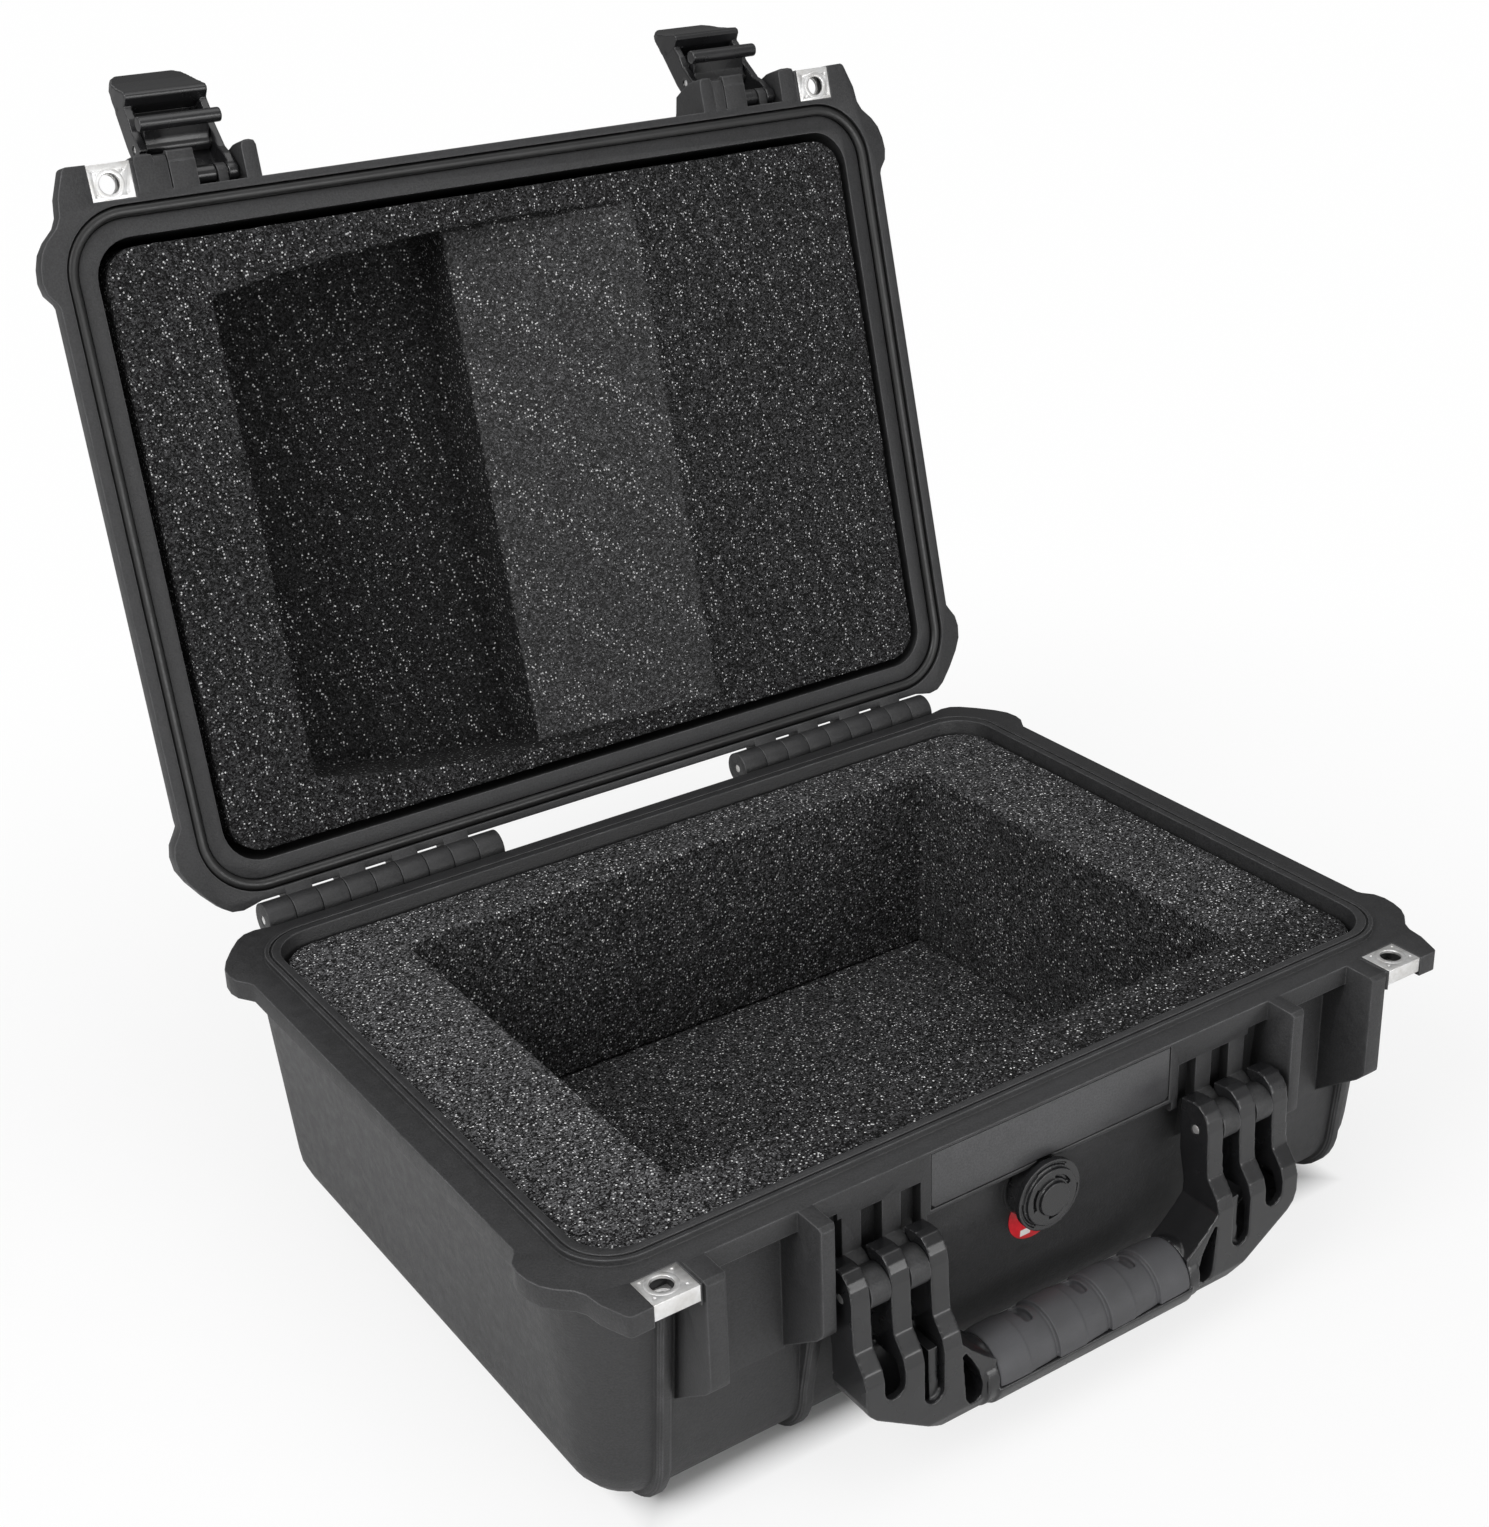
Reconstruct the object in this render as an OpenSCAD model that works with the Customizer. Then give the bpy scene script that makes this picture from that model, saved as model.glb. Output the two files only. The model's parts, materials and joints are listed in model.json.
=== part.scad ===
// Hard equipment case: a moulded clamshell case with a sealed rim, two
// double-throw latches, a folding carry handle, a pressure purge valve,
// steel padlock plates and cut foam in both halves. The lid stands open.
// X runs to the right, Y to the back, Z up. The origin is the centre of the
// foot frame on the surface the case stands on. All sizes in millimetres.

/* [Case] */
// Width across the sealing flange
flange_w = 406; // [400:1:412]
// Depth across the sealing flange
flange_d = 294.7; // [290:0.5:300]
// Height of the parting plane above the ground
part_z = 117.5; // [117.5:0.5:122]
// Depth of the base shell below the parting plane, without its feet
base_h = 114.3; // [112:0.1:114.4]
// Height of the lid shell above the parting plane, without its ribs
lid_h = 50; // [48:0.5:54]
// Thickness of the flanges at the parting plane
flange_t = 8.3; // [7:0.1:9]
// How far the walls stand inside the flange edge at the rim
wall_inset = 4.6; // [4:0.1:6]
// Draft of the base walls from rim to bottom
base_draft = 7.9; // [7:0.1:8.4]
// Radius of the bottom edges of the base
bottom_r = 26; // [22:1:28]

/* [Rim] */
// Half width of the cavity mouth
mouth_hw = 186.2; // [185.6:0.1:186.8]
// Half depth of the cavity mouth
mouth_hd = 132.2; // [131.8:0.1:132.6]
// Height of the tongue on the base rim
tongue_h = 2.4; // [1:0.1:2.6]
// Gap between the closed halves
rim_gap = 0.3; // [0.2:0.1:0.6]

/* [Hinge] */
// Distance of the hinge axis behind the flange edge
hinge_off = 8.35; // [8.3:0.05:9]
// Height of the hinge axis relative to the parting plane
hinge_dz = -0.69; // [-0.9:0.01:-0.5]
// Radius of the hinge knuckles
knuckle_r = 7.6; // [7:0.1:7.7]
// Radius of the hinge pins
hinge_pin_r = 2.0; // [1.6:0.1:2.4]
// Angle the lid stands open at rest
lid_open = 104; // [0:1:106]

/* [Latches] */
// Distance of each latch from the middle of the case
latch_x = 134.5; // [134:0.5:135]
// Width of a latch
latch_w = 36; // [34:0.5:36]
// How far the left latch is swung out from its closed position
latch_open_left = 121; // [0:1:131]
// How far the right latch is swung out from its closed position
latch_open_right = 131; // [0:1:131]
// Radius of the latch pins
latch_pin_r = 1.6; // [1.4:0.1:1.8]

/* [Handle] */
// Distance of the handle axis in front of the case centre
handle_y = 157; // [156.5:0.1:157.5]
// Depth of the handle axis below the parting plane
handle_dz = 35.3; // [35:0.1:35.6]
// Radius of the handle pins
handle_pin_r = 1.8; // [1.4:0.1:2]
// Radius of the rubber grip in the middle
grip_r = 13.8; // [13:0.1:14.4]

/* [Foam] */
// Half width of the gear bay in the base foam
bay_hw = 136; // [120:1:140]
// Depth of the gear bay floor below the parting plane
bay_floor = 96; // [90:1:98]
// Depth of the recess in the lid foam
lid_pocket = 38.5; // [30:0.5:38.5]

/* [Hidden] */
$fn = 48;

hw = flange_w / 2;
hd = flange_d / 2;
hinge_y = hd + hinge_off;
// latch pivot in the closed lid, relative to the parting plane
lp_y = -(hd + 4.15);
lp_z = 9;
// hook pivot and bar centre relative to the latch pivot, latch closed
hk_y = -4.5;  hk_z = -19;
bar_y = 8.5;  bar_z = -22;  bar_r = 3;
// padlock holes
lock_x = 172.9;  lock_y = -152.4;  lock_r = 4.2;
plate_x0 = 163.2;  plate_x1 = 181;  plate_y0 = -160.5;  plate_y1 = -146;
plate_h = 6.4;
run = 0.06;
// valve
valve_x = -4.4;  valve_z = -39.8;
// slope of the base walls
wall_tilt = atan(base_draft / (base_h - bottom_r));
function wall_y(z) = -(hd - wall_inset + base_draft * z / (base_h - bottom_r));
// handle fingers and lugs, measured from the middle plane
fingers = [[62.8, 70.8], [80, 88.2], [97.5, 105.5]];
lugs = [[71.2, 79.6], [88.6, 97.1]];

// ---- frames -------------------------------------------------------------
module at_rim() { translate([0, 0, part_z]) children(); }
module lid_frame() {
  at_rim() translate([0, hinge_y, hinge_dz]) rotate([-lid_open, 0, 0])
    translate([0, -hinge_y, -hinge_dz]) children();
}
module latch_frame(s) {
  lid_frame() translate([s * latch_x, lp_y, lp_z]) rotate([-(s < 0 ? latch_open_left : latch_open_right), 0, 0])
    children();
}
// extrude a profile drawn in Y and Z from x0 to x1
module yz(x0, x1) {
  translate([x0, 0, 0]) rotate([90, 0, 90]) linear_extrude(x1 - x0) children();
}
module both() { children(); mirror([1, 0, 0]) children(); }

// ---- 2-D outlines ---------------------------------------------------------
module rrect(w, d, r) {
  union() {
    square([2 * w - 2 * r, 2 * d], center = true);
    square([2 * w, 2 * d - 2 * r], center = true);
    for (x = [-1, 1], y = [-1, 1]) translate([x * (w - r), y * (d - r)]) circle(r);
  }
}
function arc(c, r, a0, a1, n) =
  [for (i = [0:n]) c + r * [cos(a0 + (a1 - a0) * i / n), sin(a0 + (a1 - a0) * i / n)]];
// flange outline with padlock ears in front and corner lobes, right half
function half_outline() = concat(
  [[0, -hd], [161.8, -hd], [161.8, -159.6], [163, -160.5], [186, -160.9]],
  arc([188.6, -158.6], 2.4, -80, -15, 4),
  [[194.6, -149.5]],
  [[195.6, -142.5], [197.6, -138.6]],
  [[202.6, -133.8], [205.6, -129.4], [207.3, -124], [207.9, -118.5], [206.9, -113.6], [203.8, -109.6]],
  [[hw, -107.5], [hw, 107.5]],
  [[204.2, 109.6], [207.3, 114.4], [208.3, 119.5], [207.6, 125.6], [204.6, 131.6]],
  [[199, 139.4], [193.6, 145.6], [189.6, 148.4], [184.6, 149.2], [179.6, 148.2], [176, hd], [0, hd]]);
module flange_outline() {
  h = half_outline();
  polygon(concat(h, [for (i = [len(h) - 2:-1:1]) [-h[i][0], h[i][1]]]));
}

// stack of rounded slices that gives a drafted body with a rounded end edge
module drafted(w0, d0, w1, d1, h, r, rc, re, k) {
  hull() {
    linear_extrude(0.02) rrect(w0, d0, rc, $fn = 32);
    for (a = [0:15:90]) {
      i = r * (1 - cos(a));
      translate([0, 0, h - r * (1 - sin(a)) - 0.02]) linear_extrude(0.02)
        rrect(w1 - i, d1 - i, max(re - k * i, 3), $fn = 32);
    }
  }
}

// ---- base ---------------------------------------------------------------------
// plan outline of a fin with rounded outer corners
module fin_plan(x0, x1, y0, r) translate([0, 0, -90]) linear_extrude(180)
  polygon([[x0, -100], [x1, -100], [x1, y0 + r], [x1 - r * 0.29, y0 + r * 0.29], [x1 - r, y0],
    [x0 + r, y0], [x0 + r * 0.29, y0 + r * 0.29], [x0, y0 + r]]);
module fin(x0, x1) intersection() {
  fin_plan(x0, x1, -161.1, 1.7);
  yz(x0, x1) polygon([[-134, -0.6], [-147, -0.6], [-147, 0], [-159.4, 0], [-161, -1.6],
    [-161, -42], [-160.2, -45.2], [-157.4, -48.2], [-137, -63.4], [-134, -63.4]]);
}
// half-round rib that runs down the wall and wraps under as a foot
module rib_slice(w, o, top) {
  c = [-(hd - wall_inset - base_draft - bottom_r), -(base_h - bottom_r)];
  yz(-w / 2, w / 2) polygon(concat([[-134, top], [-(hd - wall_inset + o), top]],
    arc(c, bottom_r + o, 180, 270, 9), [[-80, c[1] - bottom_r - o], [-80, -108], [-118, -100]]));
}
module foot_rib(xc, top) translate([xc, 0, 0]) {
  rib_slice(5.8, 1.4, top);
  rib_slice(4.8, 2.4, top);
  rib_slice(3.2, 3, top);
}
module rear_rib(xc, top) mirror([0, 1, 0]) foot_rib(xc, top);
module handle_lug(x0, x1) {
  translate([x0, -handle_y, -handle_dz]) rotate([0, 90, 0]) cylinder(h = x1 - x0, r = 7.4);
  yz(x0, x1) polygon([[-138, -24], [-149.6, -27.4], [-152, -29.4], [-157, -28.2],
    [-157, -42.6], [-148, -42.6], [-138, -52]]);
}
module hinge_knuckles(first, count, zlo, zhi, zs) {
  // alternate knuckles of one leaf, right-hand hinge
  pitch = 12.55;
  for (i = [0:count - 1]) {
    x0 = 65 + (first + 2 * i) * pitch + 0.2;
    x1 = x0 + pitch - 0.4;
    translate([x0, hinge_y, hinge_dz]) rotate([0, 90, 0]) cylinder(h = x1 - x0, r = knuckle_r);
    yz(x0, x1) polygon([[139, zlo], [hinge_y, zlo], [hinge_y, zhi], [139, zhi]]);
    if (zs != 0) yz(x0, x1) polygon([[139, zhi + zs * 7], [139, zhi], [hinge_y - 1, zhi]]);
  }
}

module base_shell() color([0.13, 0.13, 0.14]) at_rim() difference() {
  union() {
    // drafted tub
    mirror([0, 0, 1]) drafted(hw - wall_inset, hd - wall_inset, hw - wall_inset - base_draft,
      hd - wall_inset - base_draft, base_h, bottom_r, 34, 24.4, 0.85);
    // flange with ears and lobes
    translate([0, 0, -flange_t]) linear_extrude(flange_t) flange_outline();
    // tongue on the rim
    linear_extrude(tongue_h) rrect(192, 138.2, 22);
    both() {
      fin(153, 161.6);
      fin(109, 115.5);
      foot_rib(166.6, -6);
      foot_rib(105.6, -50);
      rear_rib(166.6, -6);
      rear_rib(108.6, -6);
      for (l = lugs) handle_lug(l[0], l[1]);
      hinge_knuckles(0, 5, -8.29, -0.9, 0);
      // gussets below the hinge leaf
      for (x = [65.2, 90.3, 115.4, 140.5, 165.6]) yz(x, x + 12.15)
        polygon([[138, -8], [hinge_y - 3, -8], [138, -26]]);
      // side ears strengthening rib under each padlock ear
      yz(174, 178) polygon([[-138, -8], [-156, -8], [-150, -14], [-138, -26]]);
      // handle mount pad
      yz(59.5, 98.8) polygon([[-139, 0], [-hd, 0], [-hd, -30], [-146, -31.4], [-139, -31.4]]);
    }
    // centre panel that carries the name plate
    yz(-59.6, 59.6) polygon([[-139, 0], [-hd, 0], [-hd, -26.4], [-146.4, -27.4], [-139, -27.4]]);
    // valve boss
    translate([valve_x, -134, valve_z]) rotate([90, 0, 0]) cylinder(h = 6.6, r = 13.4);
    // foot frame under the base
    translate([0, 0, -part_z]) linear_extrude(part_z - base_h + 0.6) difference() {
      square([324, 210], center = true);
      square([304, 190], center = true);
    }
  }
  // cavity
  translate([0, 0, 3]) mirror([0, 0, 1]) drafted(mouth_hw, mouth_hd, mouth_hw - 1,
    mouth_hd - 1, base_h - 5.2 + 3, 16, 18, 18, 0.6);
  // fine groove along the tongue crest
  translate([0, 0, tongue_h - 0.9]) linear_extrude(3) difference() {
    rrect(190.2, 136.4, 20.2);
    rrect(189.2, 135.4, 19.2);
  }
  both() {
    // latch bay behind the fins
    yz(115.5, 153) polygon([[-166, -9.1], [-136.4, -9.1], [-136.4, -63.4], [-140.4, -70], [-166, -70]]);
    // finger relief slots in the handle pad
    for (f = [0, 1, 2]) yz(fingers[f][0] - 0.5, fingers[f][1] + 0.5)
      polygon([[-142.6, -11], [-150, -11], [-150, -60], [-142.6, -60]]);
    // padlock plate seat
    translate([plate_x0 - 0.1, plate_y0 - 2, -plate_h - 0.1]) cube([plate_x1 - plate_x0 + 0.2, 2 + 1.4, plate_h + 1]);
    translate([plate_x0 - 0.1, plate_y0 - 2, -1.3]) cube([plate_x1 - plate_x0 + 0.2, plate_y1 - plate_y0 + 2.1, 3]);
    translate([plate_x0 - 0.1, plate_y0 - 2, -flange_t - 1]) cube([plate_x1 - plate_x0 + 0.2, plate_y1 - plate_y0 + 2.1, flange_t + 1 - plate_h + 1.3]);
    // open notch inside the clip, for the shackle
    translate([lock_x - 4.8, plate_y0 - 2, -12]) cube([9.6, lock_y + 4.8 - plate_y0 + 2, 14]);
    // handle pin bores
    translate([60, -handle_y, -handle_dz]) rotate([0, 90, 0]) cylinder(h = 48, r = handle_pin_r + 0.02);
    // hinge pin bores
    translate([64, hinge_y, hinge_dz]) rotate([0, 90, 0]) cylinder(h = 116, r = hinge_pin_r + 0.02);
  }
  // name plate seat
  translate([-57.8, -hd - 1, -25]) cube([115.6, 2.2, 23.8]);
  // valve seat and bore
  translate([valve_x, -140.6, valve_z]) rotate([90, 0, 0]) cylinder(h = 12, r = 15.3);
  translate([valve_x, -125, valve_z]) rotate([90, 0, 0]) cylinder(h = 30, r = 8.15);
}

module plate(z0, s) {
  // folded steel clip: top, front and bottom walls around the ear
  difference() {
    translate([plate_x0, plate_y0, z0]) cube([plate_x1 - plate_x0, plate_y1 - plate_y0, plate_h]);
    translate([plate_x0 - 1, plate_y0 + 1.2, z0 + 1.2]) cube([plate_x1 - plate_x0 + 2, 40, plate_h - 2.4]);
    translate([lock_x, lock_y, z0 - 2]) cylinder(h = plate_h + 4, r = lock_r);
  }
}
module padlock_plate_base_right() color([0.75, 0.75, 0.74]) at_rim() plate(-plate_h, 1);
module padlock_plate_base_left() color([0.75, 0.75, 0.74]) at_rim() mirror([1, 0, 0]) plate(-plate_h, 1);
module padlock_plate_lid_right() color([0.75, 0.75, 0.74]) lid_frame() plate(rim_gap, 1);
module padlock_plate_lid_left() color([0.75, 0.75, 0.74]) lid_frame() mirror([1, 0, 0]) plate(rim_gap, 1);

module name_plate() color([0.2, 0.2, 0.21]) at_rim() difference() {
  translate([-57.4, -hd + 0.2, -24.6]) cube([114.8, 0.9, 23]);
  // bevelled lower corners
  for (m = [0, 1]) mirror([m, 0, 0]) translate([57.4, -hd, -24.6]) rotate([0, 45, 0]) cube([2.2, 4, 2.2], center = true);
}

module base_foam_walls() color([0.1, 0.1, 0.1]) at_rim() difference() {
  translate([0, 0, -bay_floor]) linear_extrude(bay_floor - 3) rrect(184.4, 130.4, 18);
  translate([-bay_hw, -101, -bay_floor - 1]) cube([2 * bay_hw, 205, bay_floor + 2]);
  // relief for the valve nut
  translate([valve_x, -122, valve_z]) rotate([90, 0, 0]) cylinder(h = 12, r = 15);
}
module base_foam_floor() color([0.09, 0.09, 0.09]) at_rim()
  translate([0, 0, -base_h + 6.2]) linear_extrude(base_h - 6.2 - bay_floor - 0.1) rrect(172, 118, 12);

// ---- purge valve ------------------------------------------------------------
module vy(y) { at_rim() translate([valve_x, y, valve_z]) rotate([90, 0, 0]) children(); }
module valve_body() color([0.12, 0.12, 0.13]) vy(-124.2) difference() {
  union() {
    cylinder(h = 17.4, r = 8);
    translate([0, 0, 17.1]) cylinder(h = 6.7, r = 13);
  }
  translate([0, 0, -1]) cylinder(h = 22, r = 4.5);
  translate([0, 0, 19.4]) cylinder(h = 8, r = 10.8);
}
module valve_cap() color([0.2, 0.2, 0.21]) vy(-148.1) difference() {
  union() {
    cylinder(h = 2.5, r = 14.8);
    cylinder(h = 4.1, r = 11.8);
    cylinder(h = 5.9, r = 6.9);
    translate([0, 0, -2.9]) cylinder(h = 3.5, r = 9);
  }
  // curved vent slots and finger notches
  for (a = [20, 140, 260]) rotate([0, 0, a]) translate([0, 0, 2.6])
    rotate_extrude(angle = 62) translate([7.9, 0]) square([1.4, 4]);
  for (a = [55, 175, 295]) rotate([0, 0, a]) translate([0, 0, 1.5])
    rotate_extrude(angle = 64) translate([12.6, 0]) square([1.1, 4]);
  translate([0, 0, -4]) cylinder(h = 4.6, r = 6.6);
}
module valve_membrane() color([0.85, 0.85, 0.82]) vy(-144) cylinder(h = 0.8, r = 8.4);
module valve_seal() color([0.08, 0.08, 0.08]) vy(-140.7)
  rotate_extrude() translate([9.4, 0]) square([2.2, 0.5]);
module valve_nut() color([0.16, 0.16, 0.17]) vy(-123.6) difference() {
  cylinder(h = 5.9, r = 13, $fn = 6);
  translate([0, 0, -1]) cylinder(h = 8, r = 8.02);
}
// crescent label on the wall under the valve
module valve_label() color([0.75, 0.08, 0.1]) at_rim() difference() {
  translate([valve_x + 4, wall_y(-55.2) - 0.03, -55.2]) rotate([90 + wall_tilt, 0, 0]) cylinder(h = 0.3, r = 12.9);
  translate([valve_x, -120, valve_z]) rotate([90, 0, 0]) cylinder(h = 40, r = 13.5);
}

// ---- pins ---------------------------------------------------------------------
module xpin(x0, x1, r) { translate([x0, 0, 0]) rotate([0, 90, 0]) cylinder(h = x1 - x0, r = r); }
module hinge_pin_right() color([0.7, 0.7, 0.7]) at_rim() translate([0, hinge_y, hinge_dz]) xpin(65.4, 177.6, hinge_pin_r);
module hinge_pin_left() color([0.7, 0.7, 0.7]) at_rim() translate([0, hinge_y, hinge_dz]) xpin(-177.6, -65.4, hinge_pin_r);
module handle_pin_right() color([0.6, 0.6, 0.6]) at_rim() translate([0, -handle_y, -handle_dz]) xpin(63, 105.3, handle_pin_r);
module handle_pin_left() color([0.6, 0.6, 0.6]) at_rim() translate([0, -handle_y, -handle_dz]) xpin(-105.3, -63, handle_pin_r);
module latch_pin(s) { lid_frame() translate([s * latch_x, lp_y, lp_z]) xpin(-17.6, 17.6, latch_pin_r); }
module latch_pin_right() color([0.7, 0.7, 0.7]) latch_pin(1);
module latch_pin_left() color([0.7, 0.7, 0.7]) latch_pin(-1);
module hook_pin(s) { latch_frame(s) translate([0, hk_y, hk_z]) xpin(-17.6, 17.6, latch_pin_r); }
module hook_pin_right() color([0.7, 0.7, 0.7]) hook_pin(1);
module hook_pin_left() color([0.7, 0.7, 0.7]) hook_pin(-1);

// ---- lid, drawn closed --------------------------------------------------------
module lid_fin(x0, x1, y0, z1) intersection() {
  fin_plan(x0, x1, y0 - 0.7, 2.6);
  yz(x0, x1) polygon([[-136, rim_gap], [y0, rim_gap], [y0 - 0.6, rim_gap + 1], [y0 + 0.4, z1 * 0.45],
    [y0 + 5, z1 * 0.9], [-150, z1], [-136, z1 + 8]]);
}
module lid_rib(x0, x1) {
  yz(x0, x1) polygon([[-134, 26], [-147.2, 27], [-145.4, 42], [-143, 49], [-137.4, 54],
    [-129, 56], [-92, 56], [-90, 48], [-128, 44]]);
}
module lid_shell() color([0.13, 0.13, 0.14]) lid_frame() difference() {
  union() {
    translate([0, 0, rim_gap]) drafted(hw - wall_inset, hd - wall_inset, hw - wall_inset - 4.4,
      hd - wall_inset - 4.4, lid_h - rim_gap, 13, 26, 26, 0.6);
    translate([0, 0, rim_gap]) linear_extrude(flange_t - 0.6) flange_outline();
    both() {
      lid_fin(153, 161.6, -161.6, 25);
      lid_fin(109, 115.5, -162, 25);
      lid_rib(163, 173);
      lid_rib(108, 118);
      mirror([0, 1, 0]) lid_rib(163, 173);
      mirror([0, 1, 0]) lid_rib(108, 118);
      // latch pivot lugs
      hinge_knuckles(1, 4, 0.05, 6.9, 1);
    }
    // latch pivot lugs: a wide tongue and a narrow ear, same hand on both sides
    for (s = [-1, 1]) translate([s * latch_x, 0, 0]) {
      yz(-12.7, -1.5) polygon([[-136, rim_gap], [-157.8, rim_gap], [-158.3, rim_gap + 0.5], [-158.9, rim_gap + 0.3],
        [-162, 0.8], [-162.6, 2.4], [-160, 8.6], [-155.4, 12.6], [-151.5, 13.2], [-136, 20]]);
      yz(-18.8, -13.2) polygon([[-136, rim_gap], [-158, rim_gap], [-160.6, 1.2], [-161.4, 3.4], [-160, 9],
        [-155.4, 13], [-151.5, 13.6], [-136, 22]]);
      translate([8.8, lp_y, lp_z]) rotate([0, 90, 0]) cylinder(h = 4.2, r = 3.9);
      yz(8.8, 13) polygon([[-136, 5], [lp_y, lp_z - 3.9], [lp_y, lp_z + 3.9], [-136, 22]]);
    }
    // raised field on the top of the lid
    translate([0, 0, lid_h - 1]) linear_extrude(3.4) difference() {
      rrect(150, 84, 12);
      rrect(144, 78, 8);
    }
  }
  // cavity
  translate([0, 0, -3]) drafted(mouth_hw - 0.6, mouth_hd - 0.6, mouth_hw - 3,
    mouth_hd - 3, lid_h - 5.4 + 3, 7, 17, 17, 0.6);
  // latch bays between the fins
  for (s = [-1, 1]) translate([s * latch_x, 0, 0]) {
    for (x = [[-1.2, 8.5], [13.3, 18.5]]) {
      yz(x[0], x[1]) polygon([[-139, 8], [-166, 8], [-166, 24.4], [-139, 24.4]]);
      translate([x[0], lp_y, lp_z]) rotate([0, 90, 0]) cylinder(h = x[1] - x[0], r = 4.5);
    }
    translate([0, lp_y, lp_z]) xpin(-19.3, 19.3, latch_pin_r + 0.02);
  }
  // seal groove
  translate([0, 0, -1]) linear_extrude(1 + rim_gap + 3.9) difference() {
    rrect(198, 144, 28);
    rrect(192.5, 138.7, 22.5);
  }
  // relief for the tongue of the base
  translate([0, 0, -1]) linear_extrude(1 + 3.1) rrect(192.52, 138.72, 22.5);
  both() {
    // padlock plate seat
    translate([plate_x0 - 0.1, plate_y0 - 2, rim_gap - 0.1]) cube([plate_x1 - plate_x0 + 0.2, 2 + 1.4, plate_h + 0.2]);
    translate([plate_x0 - 0.1, plate_y0 - 2, -2]) cube([plate_x1 - plate_x0 + 0.2, plate_y1 - plate_y0 + 2.1, 2 + rim_gap + 1.3]);
    translate([plate_x0 - 0.1, plate_y0 - 2, rim_gap + plate_h - 1.3]) cube([plate_x1 - plate_x0 + 0.2, plate_y1 - plate_y0 + 2.1, 5]);
    // open notch inside the clip, for the shackle
    translate([lock_x - 4.8, plate_y0 - 2, -2]) cube([9.6, lock_y + 4.8 - plate_y0 + 2, 14]);
    translate([64, hinge_y, hinge_dz]) rotate([0, 90, 0]) cylinder(h = 116, r = hinge_pin_r + run);
  }
}
module lid_gasket() color([0.05, 0.05, 0.05]) lid_frame() translate([0, 0, rim_gap + 0.3])
  linear_extrude(3.5) difference() {
    rrect(197.8, 143.8, 27.8);
    rrect(192.8, 139, 22.8);
  }

// recess outline with softly bowed front and rear edges
function bow(x, y0, k) = y0 + k * (x - 5) * (x - 5);
module pocket_outline() polygon(concat(
  [for (x = [-140:7:63]) [x, bow(x, -115, 0.00061)]], [[63.2, -113]],
  [[63.2, 117.6]], [for (x = [63:-7:-140]) [x, bow(x, 120, -0.00082)]]));
module lid_foam() color([0.1, 0.1, 0.1]) lid_frame() difference() {
  union() {
    translate([0, 0, 2.6]) linear_extrude(lid_h - 16) rrect(181.4, 127.4, 14);
    translate([0, 0, 30]) linear_extrude(lid_h - 5.6 - 30) rrect(175.8, 121.8, 10);
  }
  intersection() {
    translate([0, 0, 1]) linear_extrude(60) pocket_outline();
    translate([0, 150, 0]) rotate([90, 0, 0]) linear_extrude(300)
      polygon([[-150, 0], [-150, 2.6 + lid_pocket], [-27, 2.6 + lid_pocket], [-27, 15], [63.2, 2.61], [63.2, 0]]);
  }
}

// ---- latches, drawn closed about the latch pivot --------------------------------
lever_side = [[3.4, -1.6], [3.7, 1], [2.6, 3], [0.6, 3.9], [-4, 4], [-7.8, 3.2], [-10.2, 1.2], [-11, -2],
  [-11, -15], [-10.4, -24], [-8.4, -33.4], [-7, -39], [3.3, -34.7], [2.6, -29], [0.6, -24], [0.6, -12], [2.8, -7]];
module lever(s) {
  latch_frame(s) difference() {
    union() {
      for (m = [0, 1]) mirror([m, 0, 0]) {
        yz(latch_w / 2 - 3.4, latch_w / 2) polygon(lever_side);
        translate([latch_w / 2 - 4.4, 0, 0]) rotate([0, 90, 0]) cylinder(h = 4.4, r = 3.9);
      }
      // outer skin
      yz(-latch_w / 2, latch_w / 2) polygon([[-6.2, 0.6], [-4, 4], [-7.8, 3.2], [-10.2, 1.2], [-11, -2], [-11, -15],
        [-10.4, -24], [-8.4, -33.4], [-7, -40], [-3.6, -40], [-5.4, -33], [-7.6, -23.4], [-8.2, -15], [-8.2, -2]]);
      // centre barrel between the lid lugs
      translate([-0.9, 0, 0]) rotate([0, 90, 0]) cylinder(h = 9.2, r = 3.9);
      yz(-0.9, 8.3) polygon([[0, 3.9], [-7, 3.4], [-8.6, -2], [-8.6, -9], [-3.8, -3.2], [-1.5, -3.6]]);
      // flared pull tab: thick lip on the inner side, thin rounded free end
      intersection() {
        yz(-latch_w / 2 + 0.2, latch_w / 2 - 0.2) polygon([[7.4, -35.4], [8.4, -36.6], [8, -38.4], [3.4, -43.6],
          [-1.2, -49.6], [-3.4, -53.4], [-5.2, -56.6], [-7, -55.4], [-6.4, -48], [-7, -40], [-3, -36], [3.3, -34.7]]);
        translate([0, 20, 0]) rotate([90, 0, 0]) linear_extrude(40) polygon([[-17.8, -30], [17.8, -30],
          [17.8, -44], [17.2, -50], [15.6, -54], [12.6, -56.4], [9, -57], [-9, -57], [-12.6, -56.4],
          [-15.6, -54], [-17.2, -50], [-17.8, -44]]);
      }
    }
    rotate([0, 90, 0]) cylinder(h = 60, r = latch_pin_r + run, center = true);
    // room for the lid lugs
    translate([8.5, 0, 0]) rotate([0, 90, 0]) cylinder(h = 4.8, r = 10.6);
    translate([-19, 0, 0]) rotate([0, 90, 0]) cylinder(h = 17.8, r = 14.4);
    translate([0, hk_y, hk_z]) rotate([0, 90, 0]) cylinder(h = 60, r = latch_pin_r + 0.02, center = true);
  }
}
module latch_lever_right() color([0.15, 0.15, 0.16]) lever(1);
module latch_lever_left() color([0.15, 0.15, 0.16]) lever(-1);
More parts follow.
